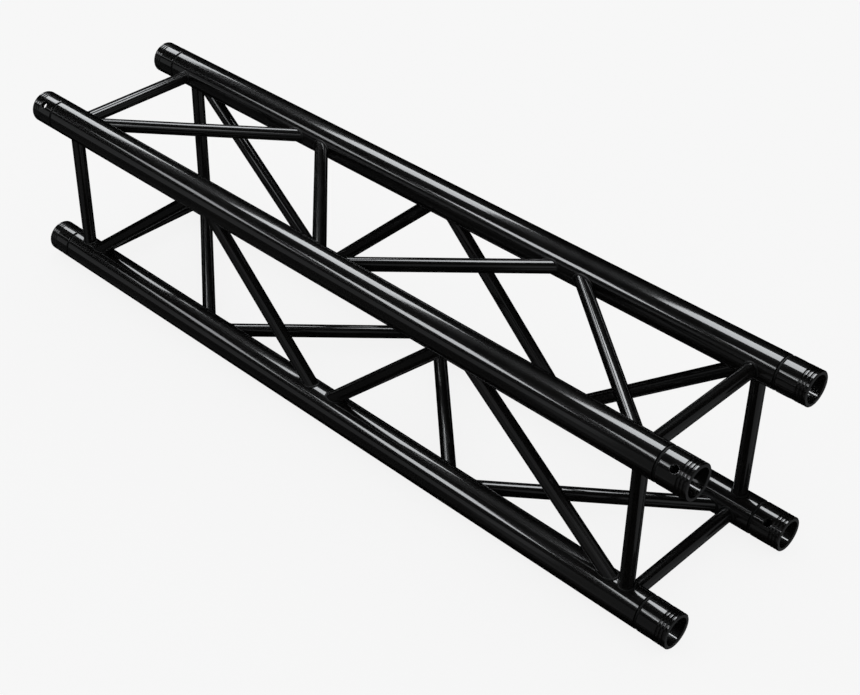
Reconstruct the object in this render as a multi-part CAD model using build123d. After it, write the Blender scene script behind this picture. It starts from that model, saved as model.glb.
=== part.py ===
"""Square lighting truss section: a 290 mm welded aluminium box truss, 1.25 m long.

Four chord tubes run along X. Each of the four faces between them carries two end struts and a
zigzag of four diagonals. Every chord ends in a conical socket coupler with a cross pin hole, and
all joints are welds. Millimetres. +X runs along the truss, +Y to the back, +Z up, and the origin
is the middle of the section.
"""

import os
from math import sqrt

from build123d import *

# Driving dimensions
LENGTH = 1250.0  # end face to end face
SPACING = 240.0  # chord centre to chord centre, both ways
CHORD_RADIUS = 25.0
CHORD_WALL = 2.0
BRACE_RADIUS = 10.0
BRACE_WALL = 2.0

# Brace nodes along X, measured from the middle of the section
END_NODE = 546.0  # end struts, and the outer ends of the outer diagonals
MID_NODE = 250.0  # where the outer and the inner diagonals meet

# Coupler, measured inwards from its end face
COUPLER_BODY = 44.0  # full-diameter length outside the chord tube
SEAM_WIDTH = 4.0  # welded gap between the coupler body and the chord tube
NECK_LENGTH = 28.0  # the part of the neck that sits inside the chord tube
NECK_CLEARANCE = 0.1  # between the neck and the tube's inner wall
SEAM_BEVEL = 0.8
RIM_CHAMFER = 1.0
MOUTH_RADIUS = 19.0
MOUTH_CHAMFER = 0.8
CONE_END_RADIUS = 15.5
PIN_HOLE_RADIUS = 5.5
PIN_HOLE_INSET = 23.0  # end face to the pin hole's centre
GROOVE_COUNT = 3
GROOVE_PITCH = 4.8
GROOVE_WIDTH = 1.8
GROOVE_FLOOR = 0.8
GROOVE_DEPTH = 0.9

# Welds
BRACE_WELD = 1.8  # leg of the bead round each brace end
SEAM_WELD_HEIGHT = 1.2  # from the neck up to the bead's crown
SEAM_WELD_EDGE = 0.6  # from the neck up to the bead's edges

# Derived values
HALF_LENGTH = LENGTH / 2
HALF_SPACING = SPACING / 2
CHORD_BORE = CHORD_RADIUS - CHORD_WALL
NECK_RADIUS = CHORD_BORE - NECK_CLEARANCE
SHOULDER_X = HALF_LENGTH - COUPLER_BODY
TUBE_END_X = SHOULDER_X - SEAM_WIDTH
NECK_END_X = TUBE_END_X - NECK_LENGTH

# Each chord's name, with the side of the truss it runs along in Y and in Z
CHORDS = {
    "front_top": (-1, 1),
    "back_top": (1, 1),
    "front_bottom": (-1, -1),
    "back_bottom": (1, -1),
}
# Each face's zigzag leaves the first chord at both ends of the truss and touches the second one
FACES = {
    "front": ("front_bottom", "front_top"),
    "top": ("front_top", "back_top"),
    "back": ("back_top", "back_bottom"),
    "bottom": ("back_bottom", "front_bottom"),
}
ENDS = {"left": -1, "right": 1}


def chord_point(chord, x):
    """The point at x on a chord's centre line."""
    side_y, side_z = CHORDS[chord]
    return Vector(x, side_y * HALF_SPACING, side_z * HALF_SPACING)


def rod(start, end, radius):
    """A solid cylinder between two points."""
    direction = end - start
    base = Plane(origin=start, z_dir=direction)
    return extrude(base * Circle(radius), amount=direction.length)


def chord_solid(chord, radius, half_length=TUBE_END_X):
    """A solid cylinder along a chord's centre line."""
    return rod(chord_point(chord, -half_length), chord_point(chord, half_length), radius)


def chord_tube(chord):
    """One chord: a straight round tube between its two coupler seams."""
    tube = chord_solid(chord, CHORD_RADIUS) - chord_solid(chord, CHORD_BORE)
    return Part(tube.wrapped)


def revolve_profile(points):
    """A ring turned about X from a profile of (x, radius) points."""
    profile = make_face(Polyline([(x, radius) for x, radius in points], close=True))
    return revolve(profile, Axis.X, 360)


def groove_profile(inset):
    """The four corners of one ring groove, at a distance from the end face."""
    x = HALF_LENGTH - inset
    floor_radius = CHORD_RADIUS - GROOVE_DEPTH
    return [
        (x - GROOVE_WIDTH / 2, CHORD_RADIUS),
        (x - GROOVE_FLOOR / 2, floor_radius),
        (x + GROOVE_FLOOR / 2, floor_radius),
        (x + GROOVE_WIDTH / 2, CHORD_RADIUS),
    ]


def coupler_outline():
    """Half section of a coupler on the X axis, as (x, radius) points, at the right-hand end."""
    outside = [
        (NECK_END_X, NECK_RADIUS - SEAM_BEVEL),
        (NECK_END_X + SEAM_BEVEL, NECK_RADIUS),
        (SHOULDER_X, NECK_RADIUS),
        (SHOULDER_X, CHORD_RADIUS - SEAM_BEVEL),
        (SHOULDER_X + SEAM_BEVEL, CHORD_RADIUS),
    ]
    for number in range(GROOVE_COUNT, 0, -1):
        outside += groove_profile(number * GROOVE_PITCH)
    outside += [
        (HALF_LENGTH - RIM_CHAMFER, CHORD_RADIUS),
        (HALF_LENGTH, CHORD_RADIUS - RIM_CHAMFER),
    ]
    inside = [
        (HALF_LENGTH, MOUTH_RADIUS + MOUTH_CHAMFER),
        (HALF_LENGTH - MOUTH_CHAMFER, MOUTH_RADIUS),
        (SHOULDER_X, CONE_END_RADIUS),
        (NECK_END_X, CONE_END_RADIUS),
    ]
    return outside + inside


def place_on_chord(shape, chord, end):
    """Move a shape made on the X axis at the right-hand end to a chord, at either end."""
    if end < 0:
        shape = mirror(shape, Plane.YZ)
    return Pos(chord_point(chord, 0)) * shape


def pin_hole_tool(chord, end):
    """The cross pin hole, along the line from the truss's middle out through the chord."""
    side_y, side_z = CHORDS[chord]
    outward = Vector(0, side_y, side_z) / sqrt(2)
    centre = chord_point(chord, end * (HALF_LENGTH - PIN_HOLE_INSET))
    reach = outward * (CHORD_RADIUS + 1)
    return rod(centre - reach, centre + reach, PIN_HOLE_RADIUS)


def coupler(chord, end):
    """One conical socket coupler with its ring grooves, neck and cross pin hole."""
    turned = revolve_profile(coupler_outline())
    return place_on_chord(turned, chord, end) - pin_hole_tool(chord, end)


def brace_ends():
    """Each brace's name, with its face and its (chord, x) at both ends."""
    braces = {}
    for face, (first, second) in FACES.items():
        for end_name, end in ENDS.items():
            braces[f"{face}_strut_{end_name}"] = (face, (first, end * END_NODE), (second, end * END_NODE))
        stations = [
            (first, -END_NODE),
            (second, -MID_NODE),
            (first, 0.0),
            (second, MID_NODE),
            (first, END_NODE),
        ]
        for number, ends in enumerate(zip(stations, stations[1:]), start=1):
            braces[f"{face}_diagonal_{number}"] = (face, *ends)
    return braces


def brace_rod(start, end, radius):
    """A solid cylinder between two (chord, x) brace ends."""
    return rod(chord_point(*start), chord_point(*end), radius)


def brace_tube(start, end):
    """One brace: a tube coped at both ends to sit on its two chords."""
    tube = brace_rod(start, end, BRACE_RADIUS) - brace_rod(start, end, BRACE_RADIUS - BRACE_WALL)
    for chord, _ in (start, end):
        tube -= chord_solid(chord, CHORD_RADIUS)
    return tube


def brace_weld(start, end):
    """The bead round one end of a brace, where it meets the chord named by start."""
    chord = start[0]
    bead = brace_rod(start, end, BRACE_RADIUS + BRACE_WELD) & chord_solid(chord, CHORD_RADIUS + BRACE_WELD)
    bead -= chord_solid(chord, CHORD_RADIUS)
    return bead - brace_rod(start, end, BRACE_RADIUS)


def face_welds(face, braces):
    """All the brace beads of one face, as separate solids in one group."""
    beads = []
    for brace_face, start, end in braces.values():
        if brace_face == face:
            beads += brace_weld(start, end).solids()
            beads += brace_weld(end, start).solids()
    return Compound(children=beads)


def seam_weld(chord, end):
    """The weld ring that fills the bottom of the seam between a chord tube and its coupler."""
    middle = (TUBE_END_X + SHOULDER_X) / 2
    profile = [
        (TUBE_END_X, NECK_RADIUS),
        (TUBE_END_X, NECK_RADIUS + SEAM_WELD_EDGE),
        (middle, NECK_RADIUS + SEAM_WELD_HEIGHT),
        (SHOULDER_X, NECK_RADIUS + SEAM_WELD_EDGE),
        (SHOULDER_X, NECK_RADIUS),
    ]
    return place_on_chord(revolve_profile(profile), chord, end)


def seam_welds(end):
    """The four coupler weld rings at one end of the truss."""
    rings = []
    for chord in CHORDS:
        rings += seam_weld(chord, end).solids()
    return Compound(children=rings)


def build_nodes():
    """Every sub-part, by node name."""
    nodes = {}
    for chord in CHORDS:
        nodes[f"chord_{chord}"] = chord_tube(chord)
        for end_name, end in ENDS.items():
            nodes[f"coupler_{chord}_{end_name}"] = coupler(chord, end)
    braces = brace_ends()
    for name, (_, start, end) in braces.items():
        nodes[name] = brace_tube(start, end)
    for face in FACES:
        nodes[f"{face}_brace_welds"] = face_welds(face, braces)
    for end_name, end in ENDS.items():
        nodes[f"coupler_welds_{end_name}"] = seam_welds(end)
    return nodes


def main():
    os.makedirs("parts", exist_ok=True)
    for name, shape in build_nodes().items():
        export_step(shape, f"parts/{name}.step")


main()
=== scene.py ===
"""Looks of the square lighting truss section: fine meshes, coatings, studio light and camera.

The frame is the CAD model's: +X runs along the truss, +Y to the back, +Z up, and the origin is the
middle of the section. Shapes are worked out in millimetres and placed in metres.
"""

from math import acos, cos, pi, radians, sin, sqrt, tan

import bmesh
import bpy
import numpy as np
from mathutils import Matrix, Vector


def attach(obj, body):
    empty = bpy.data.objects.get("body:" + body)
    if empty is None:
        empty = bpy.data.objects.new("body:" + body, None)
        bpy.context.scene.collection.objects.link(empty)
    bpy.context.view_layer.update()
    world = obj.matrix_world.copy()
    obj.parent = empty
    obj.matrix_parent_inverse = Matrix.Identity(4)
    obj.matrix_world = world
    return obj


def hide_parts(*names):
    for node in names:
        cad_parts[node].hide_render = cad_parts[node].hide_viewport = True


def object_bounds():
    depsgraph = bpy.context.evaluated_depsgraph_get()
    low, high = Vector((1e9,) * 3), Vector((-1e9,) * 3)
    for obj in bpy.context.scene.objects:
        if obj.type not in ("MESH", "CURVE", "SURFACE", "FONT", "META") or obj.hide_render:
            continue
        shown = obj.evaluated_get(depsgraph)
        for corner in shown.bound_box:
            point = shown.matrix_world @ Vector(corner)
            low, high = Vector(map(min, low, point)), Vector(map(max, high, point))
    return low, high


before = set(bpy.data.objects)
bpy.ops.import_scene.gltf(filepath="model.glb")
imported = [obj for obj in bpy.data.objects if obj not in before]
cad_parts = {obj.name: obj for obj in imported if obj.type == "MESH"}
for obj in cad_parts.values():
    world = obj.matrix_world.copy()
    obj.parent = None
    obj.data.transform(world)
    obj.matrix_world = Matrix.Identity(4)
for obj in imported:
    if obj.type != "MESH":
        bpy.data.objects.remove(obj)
cad_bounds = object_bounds()

METRES = 0.001  # one millimetre

# Sizes the looks share with the CAD model, in millimetres
HALF_LENGTH = cad_bounds[1][0] / METRES
HALF_SPACING = 120.0
CHORD_RADIUS = 25.0
CHORD_BORE = 23.0
BRACE_RADIUS = 10.0
BRACE_BORE = 8.0
END_NODE = 546.0
MID_NODE = 250.0

# Coupler, measured inwards from its end face
SHOULDER = 44.0
TUBE_END = 48.0
NECK_END = 76.0
NECK_RADIUS = 22.9
SEAM_BEVEL = 0.8
RIM_CHAMFER = 1.0
MOUTH_RADIUS = 19.0
MOUTH_CHAMFER = 0.8
CONE_END_RADIUS = 15.5
PIN_HOLE_RADIUS = 5.5
PIN_HOLE_INSET = 23.0
GROOVE_INSETS = (14.4, 9.6, 4.8)
GROOVE_DEPTH = 0.9

# The grooves are wider than in the CAD model, with hardly any floor, so their glints are thin
GROOVE_WIDTH = 3.0
GROOVE_FLOOR = 0.3

# Radii of the rounded edges
TUBE_BORE_FILLET = 0.2
TUBE_END_FILLET = 0.25
COUPLER_FILLET = 0.3  # where no other one is named
SHOULDER_FILLET = 0.4
GROOVE_EDGE_FILLET = 0.4
GROOVE_FLOOR_FILLET = 0.1
RIM_FILLET = 0.5
HOLE_EDGE = 0.5

# Each chord's name, with the side of the truss it runs along in Y and in Z
CHORDS = {
    "front_top": (-1, 1),
    "back_top": (1, 1),
    "front_bottom": (-1, -1),
    "back_bottom": (1, -1),
}
# Each face's zigzag leaves the first chord at both ends of the truss and touches the second one
FACES = {
    "front": ("front_bottom", "front_top"),
    "top": ("front_top", "back_top"),
    "back": ("back_top", "back_bottom"),
    "bottom": ("back_bottom", "front_bottom"),
}
ENDS = {"left": -1, "right": 1}

# How finely the meshes are cut
FILLET_STEPS = 3
SUPPORT_GAP = 0.35  # from a rounded edge to the row that keeps the flat beside it flat
LONG_FLAT = 2.0  # a flat longer than this has such rows
COUPLER_COLUMNS = 144
CHORD_COLUMNS = 128
BRACE_COLUMNS = 72
COPE_SUPPORT = 1.2  # from a brace's coped end to the ring that keeps its side straight
BEAD_COLUMNS = 192
BEAD_ROWS = 7
SEAM_COLUMNS = 384
SEAM_ROWS = 7

# The patch of finer mesh round a pin hole, each way from the hole's middle
PATCH_HALF_COLUMNS = 9
PATCH_HALF_ROWS = 6
PATCH_HALF_LENGTH = 6.7
PATCH_SHARES = (0.3, 0.6, 0.85, 1.0)  # where its rings lie, from its border to the hole's edge

# Ripples of the welds
RIPPLE_PITCH = 2.3
RIPPLE_SWEEP = 0.8  # how far a ripple's middle trails its edges
RIPPLE_POWER = 0.7  # below 1, crests are broad and creases sharp
TOE_RIPPLE = 0.06  # height of the ripples at a weld's edges
ARCH_POWER = 0.8  # below 1, the crown is broader than a parabola
WANDER_WAVES = (1, 2, 3, 5)  # waves round a closed weld
SEED = 7

# The bead round a brace's end
BEAD_LEG = 1.9
BEAD_LEG_DRIFT = 0.06  # as a share of the leg
BEAD_CROWN = 0.55
BEAD_CREASE = 0.7  # the crown's height in a crease, as a share of its full height
BEAD_CREST = 0.45  # how much a crest adds to that share
BEAD_ROOT_DEPTH = 0.4
TOE_SINK = 0.12  # how far the bead's edges dip into the tubes
TOE_SINK_POWER = 8  # how close to the edges they start to dip

# The weld in a coupler's seam, above the neck
SEAM_EDGE = 0.3
SEAM_CROWN = 0.35
SEAM_CREST = 0.2
SEAM_DRIFT = 0.05

# Each coating's tone, roughness under the clear coat, orange peel's height in millimetres, clear
# coat's weight, clear coat's roughness and the most dust on top
COATINGS = {
    "chord_coating": (0.0016, 0.34, 0.004, 1.0, 0.09, 0.04),
    "coupler_coating": (0.0018, 0.34, 0.003, 1.0, 0.08, 0.04),
    "brace_coating": (0.0015, 0.36, 0.004, 1.0, 0.1, 0.03),
    "weld_coating": (0.0013, 0.55, 0.005, 0.35, 0.5, 0.03),
}
COAT_IOR = 1.5
UNDERCOAT_SPECULAR = 0.05
DUST_TONE = 0.11
GRAIN_HEIGHT = 0.0007  # millimetres

# Fineness of the coatings' patterns, in cycles per metre
CLOUD_SCALE = 9
FLECK_SCALE = 2600
SPECK_SCALE = 700
HAZE_SCALE = 35
PEEL_SCALE = 420
GRAIN_SCALE = 3200

# The camera, in metres and, for the lens, millimetres
CAMERA_REACH = 1.3576  # along each axis
SENSOR_WIDTH = 36
LENS = 68.76
LENS_SHIFT = (0.0558, -0.0551)
CAMERA_CLIP = 100

# The floor and the room round it
PALE = 0.93
FLOOR_LIT = 0.08  # how much of the floor's brightness is light falling on it
FLOOR_REACH = 40  # metres

# Softboxes in a row over the truss, in metres: place in the row and radiance
KEY_LIGHTS = {0: 10.5, -1: 9.5, -2: 7.5, -3: 3.5}
KEY_PITCH = 1.08
KEY_Y = 0.49
KEY_HEIGHT = 1.49
KEY_SIZE = (0.57, 0.88)

# Softboxes in a row in front of it, in metres: x, width and radiance
FILL_LIGHTS = (
    (0.15, 0.58, 2),
    (-0.19, 0.1, 9),
    (-0.9, 0.58, 11),
    (-1.81, 0.44, 5.5),
    (-3, 0.58, 1.5),
)
FILL_Y = -1.43
FILL_HEIGHT = 1.29
FILL_DEPTH = 0.8

# Dim cards far off: azimuth and elevation in degrees, size in metres and radiance
CARDS = {
    "front_card": (-88, -8, (6.4, 6.1), 0.13),
    "camera_card": (-57, 29, (4.4, 3.2), 0.24),
    "left_card": (-131, 3, (4.2, 2.2), 0.3),
    "low_card": (-138, -28, (5.4, 4.6), 0.03),
}
CARD_DISTANCE = 6.0

# Dim cards past the right-hand end, in metres: place, the point they face, size and radiance
END_CARDS = {
    "end_card": ((2.2, 0.05, 0.05), (0, 0.05, 0.05), (3.7, 3.4), 0.24),
    "rim_card": ((2.2, 2.9, -2.9), (0.6, 0, 0), (1.6, 1.6), 0.1),
}

# The small lamp in each right-hand socket: millimetres inwards from the end face and towards the
# back from the centre line, and size in metres
SPARK_INSET = 14.3
SPARK_OFFSET = 6.3
SPARK_SIZE = (0.0165, 0.001)
SPARK_RADIANCE = 18

LIGHT_COLOUR = (0.95, 0.975, 1.0)  # a little blue


def unit(vectors):
    """Vectors scaled to length 1."""
    return vectors / np.linalg.norm(vectors, axis=-1, keepdims=True)


# ---------------------------------------------------------------- meshes


def add_piece(name, points, faces, coats, slot, nodes):
    """A shown piece from points in millimetres, with its slot's coat, for its CAD nodes."""
    mesh = bpy.data.meshes.new(name)
    mesh.from_pydata((np.asarray(points) * METRES).tolist(), [], np.asarray(faces).tolist())
    cleaned = bmesh.new()
    cleaned.from_mesh(mesh)
    bmesh.ops.recalc_face_normals(cleaned, faces=cleaned.faces)
    cleaned.to_mesh(mesh)
    cleaned.free()
    mesh.shade_smooth()
    mesh.materials.append(coats[slot])
    piece = bpy.data.objects.new(name, mesh)
    bpy.context.scene.collection.objects.link(piece)
    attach(piece, "root")
    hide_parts(*nodes)


def grid_faces(rows, columns):
    """Quads over a grid of points whose rows and columns both close into rings."""
    row, column = np.meshgrid(np.arange(rows), np.arange(columns), indexing="ij")
    next_row = (row + 1) % rows
    next_column = (column + 1) % columns
    corners = [
        row * columns + column,
        row * columns + next_column,
        next_row * columns + next_column,
        next_row * columns + column,
    ]
    return np.stack(corners, axis=-1)


def rounded_outline(corners):
    """A closed outline through (inset, radius, fillet) corners, and each corner's first point."""
    points = []
    starts = []
    places = np.array([(inset, radius) for inset, radius, _ in corners])
    for number, (_, _, fillet) in enumerate(corners):
        starts.append(len(points))
        corner = places[number]
        before = places[number - 1] - corner
        after = places[(number + 1) % len(corners)] - corner
        if fillet == 0:
            points.append(corner)
            continue
        half_angle = acos(float(unit(before) @ unit(after))) / 2
        reach = fillet / tan(half_angle)
        centre = corner + unit(unit(before) + unit(after)) * fillet / sin(half_angle)
        start = corner + unit(before) * reach
        end = corner + unit(after) * reach
        if np.linalg.norm(before) > LONG_FLAT:
            points.append(start + unit(before) * SUPPORT_GAP)
        turn = pi - 2 * half_angle
        for step in range(FILLET_STEPS + 1):
            share = step / FILLET_STEPS
            arm = (start - centre) * sin((1 - share) * turn) + (end - centre) * sin(share * turn)
            points.append(centre + arm / sin(turn))
        if np.linalg.norm(after) > LONG_FLAT:
            points.append(end + unit(after) * SUPPORT_GAP)
    return np.array(points), starts


def turned(outline, columns):
    """An (inset, radius) outline turned about the chord, as (inset, outward, sideways) points."""
    angles = np.arange(columns) * 2 * pi / columns
    insets = np.repeat(outline[:, :1], columns, axis=1)
    return np.stack(
        [insets, outline[:, 1:] * np.cos(angles), outline[:, 1:] * np.sin(angles)], axis=-1
    )


def placed(points, chord, end):
    """(inset, outward, sideways) points at one end of a chord, as points in the frame."""
    side_y, side_z = CHORDS[chord]
    outward = np.array([side_y, side_z]) / sqrt(2)
    sideways = np.array([-outward[1], outward[0]])
    centre = np.array([side_y, side_z]) * HALF_SPACING
    inset, along_outward, along_sideways = points.reshape(-1, 3).T
    across = centre + np.outer(along_outward, outward) + np.outer(along_sideways, sideways)
    return np.column_stack([end * (HALF_LENGTH - inset), across])


def chord_shape():
    """The points and faces of one chord tube, as (inset, outward, sideways)."""
    far_end = 2 * HALF_LENGTH - TUBE_END
    outline, _ = rounded_outline(
        [
            (TUBE_END, CHORD_BORE, TUBE_BORE_FILLET),
            (TUBE_END, CHORD_RADIUS, TUBE_END_FILLET),
            (far_end, CHORD_RADIUS, TUBE_END_FILLET),
            (far_end, CHORD_BORE, TUBE_BORE_FILLET),
        ]
    )
    faces = grid_faces(len(outline), CHORD_COLUMNS)
    return turned(outline, CHORD_COLUMNS), faces.reshape(-1, 4)


def cone_radius(inset):
    """The radius of the coupler's conical socket at a distance from the end face."""
    slope = (CONE_END_RADIUS - MOUTH_RADIUS) / (SHOULDER - MOUTH_CHAMFER)
    return MOUTH_RADIUS + slope * (inset - MOUTH_CHAMFER)


def coupler_outline():
    """The coupler's outline, and where the rows of its outer and inner pin hole patches start."""
    steps = np.linspace(-PATCH_HALF_LENGTH, PATCH_HALF_LENGTH, 2 * PATCH_HALF_ROWS + 1)
    patch_insets = PIN_HOLE_INSET + steps
    corners = [
        (NECK_END, NECK_RADIUS - SEAM_BEVEL, COUPLER_FILLET),
        (NECK_END - SEAM_BEVEL, NECK_RADIUS, COUPLER_FILLET),
        (SHOULDER, NECK_RADIUS, COUPLER_FILLET),
        (SHOULDER, CHORD_RADIUS - SEAM_BEVEL, COUPLER_FILLET),
        (SHOULDER - SEAM_BEVEL, CHORD_RADIUS, SHOULDER_FILLET),
    ]
    outer_patch = len(corners)
    corners += [(inset, CHORD_RADIUS, 0) for inset in patch_insets[::-1]]
    for inset in GROOVE_INSETS:
        corners += [
            (inset + GROOVE_WIDTH / 2, CHORD_RADIUS, GROOVE_EDGE_FILLET),
            (inset + GROOVE_FLOOR / 2, CHORD_RADIUS - GROOVE_DEPTH, GROOVE_FLOOR_FILLET),
            (inset - GROOVE_FLOOR / 2, CHORD_RADIUS - GROOVE_DEPTH, GROOVE_FLOOR_FILLET),
            (inset - GROOVE_WIDTH / 2, CHORD_RADIUS, GROOVE_EDGE_FILLET),
        ]
    corners += [
        (RIM_CHAMFER, CHORD_RADIUS, RIM_FILLET),
        (0, CHORD_RADIUS - RIM_CHAMFER, RIM_FILLET),
        (0, MOUTH_RADIUS + MOUTH_CHAMFER, COUPLER_FILLET),
        (MOUTH_CHAMFER, MOUTH_RADIUS, COUPLER_FILLET),
    ]
    inner_patch = len(corners)
    corners += [(inset, cone_radius(inset), 0) for inset in patch_insets]
    corners += [
        (SHOULDER, CONE_END_RADIUS, 0),
        (NECK_END, CONE_END_RADIUS, COUPLER_FILLET),
    ]
    outline, starts = rounded_outline(corners)
    return outline, starts[outer_patch], starts[inner_patch]


def patch_border():
    """The border of a pin hole patch, as (row, column) steps from the hole's middle, in order."""
    rows = PATCH_HALF_ROWS
    columns = PATCH_HALF_COLUMNS
    border = [(rows, column) for column in range(-columns, columns)]
    border += [(row, columns) for row in range(rows, -rows, -1)]
    border += [(-rows, column) for column in range(columns, -columns, -1)]
    border += [(row, -columns) for row in range(-rows, rows)]
    return np.array(border)


def wall_height(inset, across, outer):
    """How far out from the chord's centre line the outer or the inner wall lies."""
    radius = CHORD_RADIUS if outer else cone_radius(inset)
    return np.sqrt(radius**2 - across**2)


def hole_ring(radius, depth, turns, outer):
    """One ring round the pin hole, at a depth into the metal from one wall."""
    side = radius * np.sin(turns)
    inset = PIN_HOLE_INSET + radius * np.cos(turns)
    inwards = -depth if outer else depth
    return np.stack([inset, wall_height(inset, side, outer) + inwards, side], axis=-1)


def patch_rings(border, turns, outer):
    """The rings between a patch's border and the pin hole's rounded edge."""
    border_inset = PIN_HOLE_INSET + border[:, 0] * PATCH_HALF_LENGTH / PATCH_HALF_ROWS
    border_angle = border[:, 1] * 2 * pi / COUPLER_COLUMNS
    radius = CHORD_RADIUS if outer else cone_radius(border_inset)
    border_side = radius * np.sin(border_angle)
    edge_radius = PIN_HOLE_RADIUS + HOLE_EDGE + SUPPORT_GAP / 2
    edge_inset = PIN_HOLE_INSET + edge_radius * np.cos(turns)
    edge_side = edge_radius * np.sin(turns)
    rings = []
    for share in PATCH_SHARES:
        inset = border_inset + (edge_inset - border_inset) * share
        side = border_side + (edge_side - border_side) * share
        rings.append(np.stack([inset, wall_height(inset, side, outer), side], axis=-1))
    return rings


def edge_rings(turns, outer):
    """The rings of the pin hole's rounded edge, down to its bore."""
    rings = []
    for angle in np.linspace(0, pi / 2, FILLET_STEPS + 1):
        radius = PIN_HOLE_RADIUS + HOLE_EDGE * (1 - np.sin(angle))
        depth = HOLE_EDGE * (1 - np.cos(angle))
        rings.append(hole_ring(radius, depth, turns, outer))
    rings.append(hole_ring(PIN_HOLE_RADIUS, HOLE_EDGE + SUPPORT_GAP, turns, outer))
    return rings


def pin_hole_rings(border):
    """Rings of (inset, outward, sideways) points from the outer patch through to the inner."""
    count = len(border)
    turns = 2 * pi * (np.arange(count) - PATCH_HALF_COLUMNS) / count
    outer_rings = patch_rings(border, turns, True) + edge_rings(turns, True)
    inner_rings = patch_rings(border, turns, False) + edge_rings(turns, False)
    return outer_rings + inner_rings[::-1]


def coupler_shape():
    """The points and faces of one coupler with both walls of its cross pin hole cut through."""
    outline, outer_start, inner_start = coupler_outline()
    grid = turned(outline, COUPLER_COLUMNS)
    faces = grid_faces(len(outline), COUPLER_COLUMNS)
    kept = np.ones(faces.shape[:2], bool)
    border = patch_border()
    rings = pin_hole_rings(border)
    points = [grid.reshape(-1, 3)]
    hole_faces = []
    base = len(points[0])
    for half_turn in (0, 1):
        middle = half_turn * COUPLER_COLUMNS // 2
        columns = (middle + border[:, 1]) % COUPLER_COLUMNS
        cut = (middle + np.arange(-PATCH_HALF_COLUMNS, PATCH_HALF_COLUMNS)) % COUPLER_COLUMNS
        for start in (outer_start, inner_start):
            rows = np.arange(start, start + 2 * PATCH_HALF_ROWS)
            kept[np.ix_(rows, cut)] = False
        outer_rows = outer_start + PATCH_HALF_ROWS - border[:, 0]
        inner_rows = inner_start + PATCH_HALF_ROWS + border[:, 0]
        indices = [outer_rows * COUPLER_COLUMNS + columns]
        for ring in rings:
            facing = ring * (1, -1, -1) if half_turn else ring
            points.append(facing)
            indices.append(base + np.arange(len(ring)))
            base += len(ring)
        indices.append(inner_rows * COUPLER_COLUMNS + columns)
        for near, far in zip(indices, indices[1:]):
            quads = [near, np.roll(near, -1), np.roll(far, -1), far]
            hole_faces.append(np.stack(quads, axis=-1))
    return np.concatenate(points), np.concatenate([faces[kept]] + hole_faces)


def chord_point(chord, x):
    """The point at x on a chord's centre line."""
    side_y, side_z = CHORDS[chord]
    return np.array([x, side_y * HALF_SPACING, side_z * HALF_SPACING])


def brace_ends():
    """Each brace's name, with its face and its (chord, x) at both ends."""
    braces = {}
    for face, (first, second) in FACES.items():
        for end_name, end in ENDS.items():
            strut_x = end * END_NODE
            braces[f"{face}_strut_{end_name}"] = (face, (first, strut_x), (second, strut_x))
        stations = [
            (first, -END_NODE),
            (second, -MID_NODE),
            (first, 0.0),
            (second, MID_NODE),
            (first, END_NODE),
        ]
        for number, ends in enumerate(zip(stations, stations[1:]), start=1):
            braces[f"{face}_diagonal_{number}"] = (face, *ends)
    return braces


def saddle(start, end, radius, columns, lift):
    """Where a tube from start to end meets the start chord, as a ring lifted along the tube."""
    origin = chord_point(*start)
    direction = unit(chord_point(*end) - origin)
    rise = unit(chord_point(end[0], 0) - chord_point(start[0], 0))
    normal = np.cross([1, 0, 0], rise)
    sideways = np.cross(direction, normal)
    angles = np.arange(columns) * 2 * pi / columns
    reach = np.sqrt(CHORD_RADIUS**2 - (radius * np.cos(angles)) ** 2)
    reach = (reach - radius * np.sin(angles) * (sideways @ rise)) / (direction @ rise)
    around = np.outer(np.cos(angles), normal) + np.outer(np.sin(angles), sideways)
    return origin + np.outer(reach + lift, direction) + radius * around


def far_saddle(start, end, radius, columns, lift):
    """The ring at the end chord, its points in the same order round the tube as at the start."""
    ring = saddle(end, start, radius, columns, lift)
    return ring[(columns // 2 - np.arange(columns)) % columns]


def brace_shape(start, end):
    """The points and faces of one brace tube, coped at both ends to sit on its two chords."""
    rings = []
    for cope, radius, lifts in (
        (saddle, BRACE_RADIUS, (0, COPE_SUPPORT)),
        (far_saddle, BRACE_RADIUS, (COPE_SUPPORT, 0)),
        (far_saddle, BRACE_BORE, (0, COPE_SUPPORT)),
        (saddle, BRACE_BORE, (COPE_SUPPORT, 0)),
    ):
        rings += [cope(start, end, radius, BRACE_COLUMNS, lift) for lift in lifts]
    faces = grid_faces(len(rings), BRACE_COLUMNS)
    return np.concatenate(rings), faces.reshape(-1, 4)


def ripples(distance, pitch):
    """The scalloped height of a weld's frozen ripples, from 0 in a crease to 1 on a crest."""
    return np.abs(np.sin(pi * distance / pitch)) ** RIPPLE_POWER


def wander(length, random):
    """A slow, seeded drift round a closed bead, from about -1 to 1."""
    turns = np.linspace(0, 2 * pi, length, endpoint=False)
    waves = [np.sin(turns * count + random.uniform(0, 2 * pi)) for count in WANDER_WAVES]
    return sum(waves) / len(waves)


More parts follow.
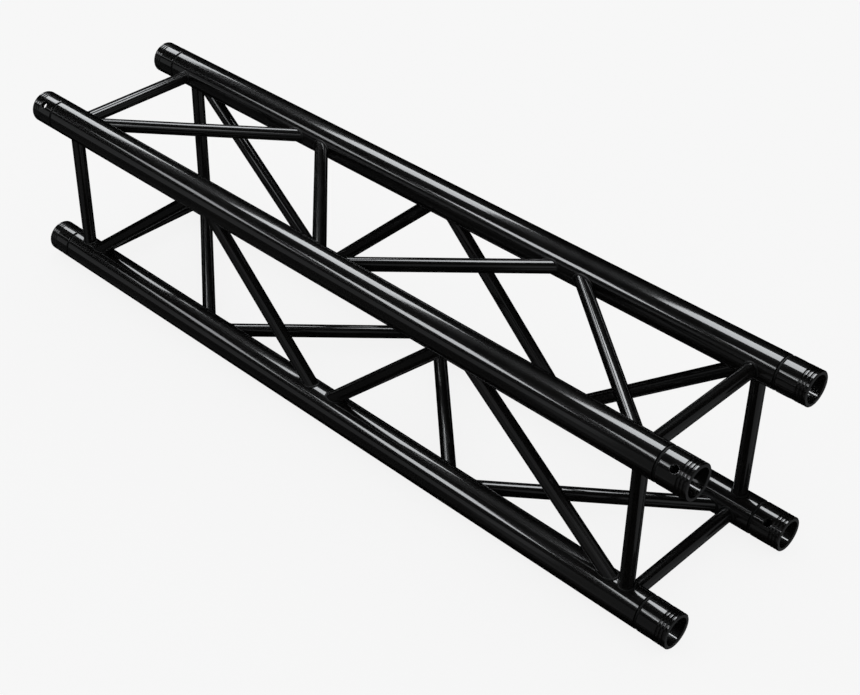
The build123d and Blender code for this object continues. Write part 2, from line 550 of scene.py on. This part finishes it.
def bead_shape(start, end, random):
    """The points and faces of one rippled bead round a brace's start, where it meets its chord."""
    root = saddle(start, end, BRACE_RADIUS, BEAD_COLUMNS, 0)
    axis = chord_point(*start)
    direction = unit(chord_point(*end) - axis)
    tangent = unit(np.roll(root, -1, axis=0) - np.roll(root, 1, axis=0))
    from_axis = root - axis
    chord_normal = unit(from_axis * (0, 1, 1))
    brace_normal = unit(from_axis - np.outer(from_axis @ direction, direction))
    up = unit(direction - tangent * (tangent @ direction)[:, None])
    out = np.cross(chord_normal, tangent)
    out *= np.sign(np.sum(out * brace_normal, axis=1))[:, None]
    crown = unit(up + out)

    steps = np.linalg.norm(np.roll(root, -1, axis=0) - root, axis=1)
    travelled = np.concatenate([[0], np.cumsum(steps)[:-1]])
    pitch = steps.sum() / round(steps.sum() / RIPPLE_PITCH)
    drift = wander(BEAD_COLUMNS, random)
    leg = BEAD_LEG * (1 + BEAD_LEG_DRIFT * drift)[:, None]
    rows = [root - BEAD_ROOT_DEPTH * crown]
    for share in np.linspace(0, 1, BEAD_ROWS):
        arch = 4 * share * (1 - share)
        wave = ripples(travelled + RIPPLE_SWEEP * arch, pitch)
        height = BEAD_CROWN * arch**ARCH_POWER * (BEAD_CREASE + BEAD_CREST * wave)
        height = (height + TOE_RIPPLE * wave * (1 - arch))[:, None]
        on_brace = (1 - share) ** TOE_SINK_POWER
        on_chord = share**TOE_SINK_POWER
        toe = TOE_SINK * (on_brace * brace_normal + on_chord * chord_normal)
        rows.append(root + leg * ((1 - share) * up + share * out) + height * crown - toe)
    faces = grid_faces(len(rows), BEAD_COLUMNS)
    return np.concatenate(rows), faces.reshape(-1, 4)


def seam_shape(random):
    """The points and faces of the rippled weld ring in one coupler seam."""
    angles = np.arange(SEAM_COLUMNS) * 2 * pi / SEAM_COLUMNS
    count = round(2 * pi * NECK_RADIUS / RIPPLE_PITCH)
    drift = wander(SEAM_COLUMNS, random)
    rows = []
    for share in np.linspace(0, 1, SEAM_ROWS):
        arch = 4 * share * (1 - share)
        wave = ripples(angles + arch * RIPPLE_SWEEP / NECK_RADIUS, 2 * pi / count)
        rise = arch**ARCH_POWER * (SEAM_CROWN + SEAM_CREST * wave + SEAM_DRIFT * drift)
        radius = NECK_RADIUS + SEAM_EDGE + rise + TOE_RIPPLE * wave
        inset = np.full(SEAM_COLUMNS, SHOULDER + share * (TUBE_END - SHOULDER))
        rows.append(np.stack([inset, radius * np.cos(angles), radius * np.sin(angles)], axis=-1))
    for end_inset in (TUBE_END, SHOULDER):
        inset = np.full(SEAM_COLUMNS, end_inset)
        on_neck = [inset, NECK_RADIUS * np.cos(angles), NECK_RADIUS * np.sin(angles)]
        rows.append(np.stack(on_neck, axis=-1))
    faces = grid_faces(len(rows), SEAM_COLUMNS)
    return np.concatenate(rows), faces.reshape(-1, 4)


def joined(shapes):
    """Several (points, faces) shapes as one."""
    points = []
    faces = []
    base = 0
    for shape_points, shape_faces in shapes:
        points.append(shape_points)
        faces.append(shape_faces + base)
        base += len(shape_points)
    return np.concatenate(points), np.concatenate(faces)


# ---------------------------------------------------------------- coatings


def node(tree, kind, inputs=(), **settings):
    """A shader node with its settings, and with inputs given as numbers, colours or links."""
    made = tree.nodes.new(kind)
    for name, value in settings.items():
        setattr(made, name, value)
    for socket, value in dict(inputs).items():
        if isinstance(value, bpy.types.NodeSocket):
            tree.links.new(value, made.inputs[socket])
        else:
            made.inputs[socket].default_value = value
    return made


def noise(tree, scale, detail):
    """A noise pattern fixed to the object, with a scale in cycles per metre."""
    place = node(tree, "ShaderNodeTexCoord").outputs["Object"]
    inputs = {"Vector": place, "Scale": scale, "Detail": detail}
    return node(tree, "ShaderNodeTexNoise", inputs).outputs["Fac"]


def ranged(tree, value, low, high, new_low, new_high):
    """A value moved smoothly from one range to another, and held inside it."""
    inputs = {"Value": value, 1: low, 2: high, 3: new_low, 4: new_high}
    settings = {"interpolation_type": "SMOOTHSTEP"}
    return node(tree, "ShaderNodeMapRange", inputs, **settings).outputs["Result"]


def mixed(tree, share, first, second):
    """Two colours mixed by a share."""
    made = node(tree, "ShaderNodeMix", data_type="RGBA")
    for socket, value in (("Factor_Float", share), ("A_Color", first), ("B_Color", second)):
        target = next(entry for entry in made.inputs if entry.identifier == socket)
        if isinstance(value, bpy.types.NodeSocket):
            tree.links.new(value, target)
        else:
            target.default_value = value
    return next(entry for entry in made.outputs if entry.identifier == "Result_Color")


def times(tree, first, second):
    """Two values multiplied."""
    return node(tree, "ShaderNodeMath", {0: first, 1: second}, operation="MULTIPLY").outputs[0]


def bumped(tree, pattern, millimetres, normal=None):
    """A normal bumped by a pattern of that height, on top of another normal if one is given."""
    inputs = {"Height": pattern, "Strength": 1.0, "Distance": millimetres * METRES}
    if normal is not None:
        inputs["Normal"] = normal
    return node(tree, "ShaderNodeBump", inputs).outputs["Normal"]


def grey(value, warmth=0.0):
    """An opaque grey, a little warmer or cooler."""
    return (value * (1 + warmth), value, value * (1 - warmth), 1)


def coating(name, tone, rough, peel, clear, clear_roughness, dust):
    """A near-black powder coat with orange peel, clouds of tone and gloss, fleck and dust."""
    material = bpy.data.materials.new(name)
    material.use_nodes = True
    tree = material.node_tree
    shader = tree.nodes["Principled BSDF"]

    cloud = ranged(tree, noise(tree, CLOUD_SCALE, 3), 0.3, 0.7, 0, 1)
    base = mixed(tree, cloud, grey(tone * 0.8, 0.04), grey(tone * 1.25, 0.08))
    fleck = ranged(tree, noise(tree, FLECK_SCALE, 1), 0.62, 0.8, 0, 0.35)
    base = mixed(tree, fleck, base, grey(tone * 3))
    facing = node(tree, "ShaderNodeNewGeometry").outputs["Normal"]
    height = node(tree, "ShaderNodeSeparateXYZ", {"Vector": facing}).outputs["Z"]
    settled = ranged(tree, height, 0.35, 1.0, 0, dust)
    specks = ranged(tree, noise(tree, SPECK_SCALE, 6), 0.5, 0.75, 0.15, 1)
    base = mixed(tree, times(tree, settled, specks), base, grey(DUST_TONE, 0.06))
    tree.links.new(base, shader.inputs["Base Color"])

    haze = noise(tree, HAZE_SCALE, 4)
    roughness = ranged(tree, haze, 0.3, 0.7, rough - 0.05, rough + 0.07)
    tree.links.new(roughness, shader.inputs["Roughness"])

    skin = bumped(tree, noise(tree, PEEL_SCALE, 1), peel)
    skin = bumped(tree, noise(tree, GRAIN_SCALE, 2), GRAIN_HEIGHT, skin)
    tree.links.new(skin, shader.inputs["Normal"])
    tree.links.new(skin, shader.inputs["Coat Normal"])

    shader.inputs["IOR"].default_value = COAT_IOR
    shader.inputs["Specular IOR Level"].default_value = UNDERCOAT_SPECULAR
    shader.inputs["Coat Weight"].default_value = clear
    shader.inputs["Coat IOR"].default_value = COAT_IOR
    shader.inputs["Coat Roughness"].default_value = clear_roughness
    return material


# ---------------------------------------------------------------- studio


def camera():
    """The camera, level and looking down on the truss along the direction (-1, 1, -1)."""
    lens = bpy.data.cameras.new("camera")
    lens.sensor_width = SENSOR_WIDTH
    lens.lens = LENS
    lens.shift_x, lens.shift_y = LENS_SHIFT
    lens.clip_end = CAMERA_CLIP
    stand = bpy.data.objects.new("camera", lens)
    stand.location = Vector((1, -1, 1)) * CAMERA_REACH
    stand.rotation_euler = (-stand.location).to_track_quat("-Z", "Y").to_euler()
    bpy.context.scene.collection.objects.link(stand)
    bpy.context.scene.camera = stand


def floor():
    """A wide pale floor under the truss, lit so softly that it hardly shows a shadow."""
    material = bpy.data.materials.new("floor")
    material.use_nodes = True
    shader = material.node_tree.nodes["Principled BSDF"]
    shader.inputs["Base Color"].default_value = grey(PALE * FLOOR_LIT)
    shader.inputs["Roughness"].default_value = 1.0
    shader.inputs["Specular IOR Level"].default_value = 0.0
    shader.inputs["Emission Color"].default_value = grey(PALE)
    shader.inputs["Emission Strength"].default_value = 1 - PALE * FLOOR_LIT
    height = cad_bounds[0][2]
    signs = ((-1, -1), (1, -1), (1, 1), (-1, 1))
    corners = [(x * FLOOR_REACH, y * FLOOR_REACH, height) for x, y in signs]
    mesh = bpy.data.meshes.new("floor")
    mesh.from_pydata(corners, [], [(0, 1, 2, 3)])
    mesh.materials.append(material)
    sheet = bpy.data.objects.new("floor", mesh)
    sheet.visible_glossy = False
    bpy.context.scene.collection.objects.link(sheet)


def room():
    """Even pale light from all round, which gloss does not mirror."""
    world = bpy.data.worlds.new("room")
    world.use_nodes = True
    background = world.node_tree.nodes["Background"]
    background.inputs["Color"].default_value = grey(PALE)
    background.inputs["Strength"].default_value = 1.0
    world.cycles_visibility.glossy = False
    bpy.context.scene.world = world


def softbox(name, place, target, size, radiance):
    """A rectangular light that only gloss mirrors, facing a point."""
    light = bpy.data.lights.new(name, "AREA")
    light.shape = "RECTANGLE"
    light.size, light.size_y = size
    light.energy = radiance * pi * size[0] * size[1]
    light.color = LIGHT_COLOUR
    lamp = bpy.data.objects.new(name, light)
    lamp.location = place
    lamp.rotation_euler = (Vector(target) - Vector(place)).to_track_quat("-Z", "Y").to_euler()
    lamp.visible_diffuse = False
    lamp.visible_camera = False
    bpy.context.scene.collection.objects.link(lamp)


def card(name, azimuth, elevation, size, radiance):
    """A dim softbox far off, in the direction of an azimuth and an elevation in degrees."""
    turn = radians(azimuth)
    rise = radians(elevation)
    direction = Vector((cos(turn) * cos(rise), sin(turn) * cos(rise), sin(rise)))
    softbox(name, direction * CARD_DISTANCE, (0, 0, 0), size, radiance)


def studio():
    """Softboxes above the truss, dim cards round it and small lamps in the right-hand sockets."""
    for number, radiance in KEY_LIGHTS.items():
        x = KEY_PITCH * number
        softbox(f"key_{number}", (x, KEY_Y, KEY_HEIGHT), (x, KEY_Y, 0), KEY_SIZE, radiance)
    for number, (x, width, radiance) in enumerate(FILL_LIGHTS):
        place = (x, FILL_Y, FILL_HEIGHT)
        softbox(f"fill_{number}", place, (x, FILL_Y, 0), (width, FILL_DEPTH), radiance)
    for name, look in CARDS.items():
        card(name, *look)
    for name, look in END_CARDS.items():
        softbox(name, *look)
    for chord in CHORDS:
        place = chord_point(chord, HALF_LENGTH - SPARK_INSET) + (0, SPARK_OFFSET, 0)
        place = place * METRES
        softbox(f"spark_{chord}", place, place - (0, 0, 1), SPARK_SIZE, SPARK_RADIANCE)


# ---------------------------------------------------------------- the truss


def add_chords(coats):
    """The chord tubes and their couplers."""
    tube_points, tube_faces = chord_shape()
    coupler_points, coupler_faces = coupler_shape()
    for chord in CHORDS:
        points = placed(tube_points, chord, 1)
        name = f"chord_tube_{chord}"
        add_piece(name, points, tube_faces, coats, "chord_coating", [f"chord_{chord}"])
        for end_name, end in ENDS.items():
            points = placed(coupler_points, chord, end)
            name = f"socket_coupler_{chord}_{end_name}"
            replaced = [f"coupler_{chord}_{end_name}"]
            add_piece(name, points, coupler_faces, coats, "coupler_coating", replaced)


def add_braces(coats, random):
    """The brace tubes, and the beads of each face as one piece."""
    beads = {face: [] for face in FACES}
    for name, (face, start, end) in brace_ends().items():
        points, faces = brace_shape(start, end)
        add_piece(f"tube_{name}", points, faces, coats, "brace_coating", [name])
        beads[face].append(bead_shape(start, end, random))
        beads[face].append(bead_shape(end, start, random))
    for face, shapes in beads.items():
        points, faces = joined(shapes)
        replaced = [f"{face}_brace_welds"]
        add_piece(f"weld_beads_{face}", points, faces, coats, "weld_coating", replaced)


def add_seam_welds(coats, random):
    """The coupler seam welds of each end as one piece."""
    for end_name, end in ENDS.items():
        rings = []
        for chord in CHORDS:
            points, faces = seam_shape(random)
            rings.append((placed(points, chord, end), faces))
        points, faces = joined(rings)
        replaced = [f"coupler_welds_{end_name}"]
        add_piece(f"seam_welds_{end_name}", points, faces, coats, "weld_coating", replaced)


def truss():
    """Every piece of the truss, each in place of its CAD nodes."""
    random = np.random.default_rng(SEED)
    coats = {name: coating(name, *look) for name, look in COATINGS.items()}
    add_chords(coats)
    add_braces(coats, random)
    add_seam_welds(coats, random)


bpy.context.scene.view_settings.view_transform = "Standard"
camera()
truss()
floor()
room()
studio()
